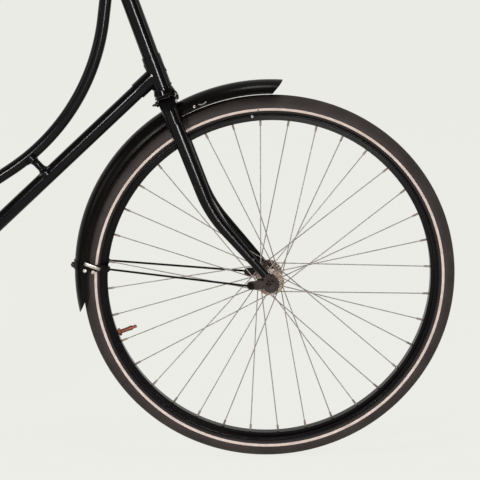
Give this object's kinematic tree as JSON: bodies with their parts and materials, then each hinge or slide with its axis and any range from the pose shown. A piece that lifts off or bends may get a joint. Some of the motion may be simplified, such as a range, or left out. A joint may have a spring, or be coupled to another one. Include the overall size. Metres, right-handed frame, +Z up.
{
  "type": "step-through roadster bicycle",
  "caption": "Full-size step-through roadster bicycle with wire-spoked wheels, deep mudguards, closed chain case, carrier and centre stand.",
  "frame": {"origin": "on the ground, in the middle of the whole bicycle's length and width", "axes": "+X forward, +Y to the bicycle's left, +Z up"},
  "size_m": [1.896, 0.602, 1.1766],
  "materials": {
    "frame_paint": "gloss black enamel, lightly worn",
    "guard_paint": "gloss black enamel on thin sheet and wire",
    "end_steel": "plain steel with brown rust",
    "chrome": "old chrome plate",
    "stand_steel": "dull zinc plate",
    "hub_steel": "worn plated steel",
    "spoke_steel": "thin drawn wire",
    "rim_paint": "black enamel",
    "tyre": "aged brown-black rubber with a pale stripe",
    "valve_brass": "dull brass",
    "grip_rubber": "matte",
    "pedal_rubber": "matte blocks in a steel frame",
    "saddle_leather": "dark brown, worn",
    "red_lens": "faceted red lens"
  },
  "bodies": {
    "frame": {"head_tube": "frame_paint", "head_cups": "frame_paint", "down_tube": "frame_paint", "upper_tube": "frame_paint", "tube_bridge": "frame_paint", "seat_tube": "frame_paint", "bracket_shell": "frame_paint", "chain_stays": "frame_paint", "seat_stays": "frame_paint", "stay_bridges": "frame_paint", "rear_ends": "frame_paint", "rear_axle": "end_steel", "seat_post": "chrome", "saddle": "saddle_leather", "saddle_springs": "chrome", "saddle_rails": "chrome", "chain_case": "frame_paint", "rear_guard": "guard_paint", "rear_guard_stays": "guard_paint", "reflector": "red_lens", "carrier": "guard_paint", "carrier_legs": "guard_paint", "brake_arm": "stand_steel", "stand_bracket": "stand_steel"},
    "steering": {"fork_crown": "frame_paint", "fork_blade_right": "frame_paint", "fork_blade_left": "frame_paint", "fork_ends": "end_steel", "front_axle": "end_steel", "head_nuts": "chrome", "crown_bolt": "end_steel", "front_guard": "guard_paint", "front_guard_stays": "guard_paint", "stem": "chrome", "handlebar": "chrome", "grip_right": "grip_rubber", "grip_left": "grip_rubber", "bell": "chrome"},
    "front_wheel": {"front_hub": "hub_steel", "front_spokes": "spoke_steel", "front_rim": "rim_paint", "front_tyre": "tyre", "front_valve": "valve_brass"},
    "rear_wheel": {"rear_hub": "hub_steel", "rear_spokes": "spoke_steel", "rear_rim": "rim_paint", "rear_tyre": "tyre", "rear_valve": "valve_brass"},
    "crankset": {"cranks": "chrome"},
    "right_pedal": {"pedal_right": "pedal_rubber"},
    "left_pedal": {"pedal_left": "pedal_rubber"},
    "stand": {"stand": "stand_steel"}
  },
  "joints": [
    {"name": "steer", "type": "hinge", "parent": "frame", "child": "steering", "pos_m": [0.53006, 0, 0.33396], "axis": [-0.3355, 0, 0.9421], "range_deg": [-75, 75]},
    {"name": "front_wheel_spin", "type": "hinge", "parent": "steering", "child": "front_wheel", "pos_m": [0.59195, 0, 0.356], "axis": [0, 1, 0], "continuous": true},
    {"name": "rear_wheel_spin", "type": "hinge", "parent": "frame", "child": "rear_wheel", "pos_m": [-0.55805, 0, 0.356], "axis": [0, 1, 0], "continuous": true},
    {"name": "crank_spin", "type": "hinge", "parent": "frame", "child": "crankset", "pos_m": [-0.1051, 0, 0.298], "axis": [0, 1, 0], "continuous": true},
    {"name": "right_pedal_spin", "type": "hinge", "parent": "crankset", "child": "right_pedal", "pos_m": [0.01511, -0.088, 0.41821], "axis": [0, 1, 0], "continuous": true},
    {"name": "left_pedal_spin", "type": "hinge", "parent": "crankset", "child": "left_pedal", "pos_m": [-0.22531, 0.088, 0.17779], "axis": [0, 1, 0], "continuous": true},
    {"name": "stand_fold", "type": "hinge", "parent": "frame", "child": "stand", "pos_m": [-0.1801, 0, 0.242], "axis": [0, 1, 0], "range_deg": [0, 70]}
  ]
}
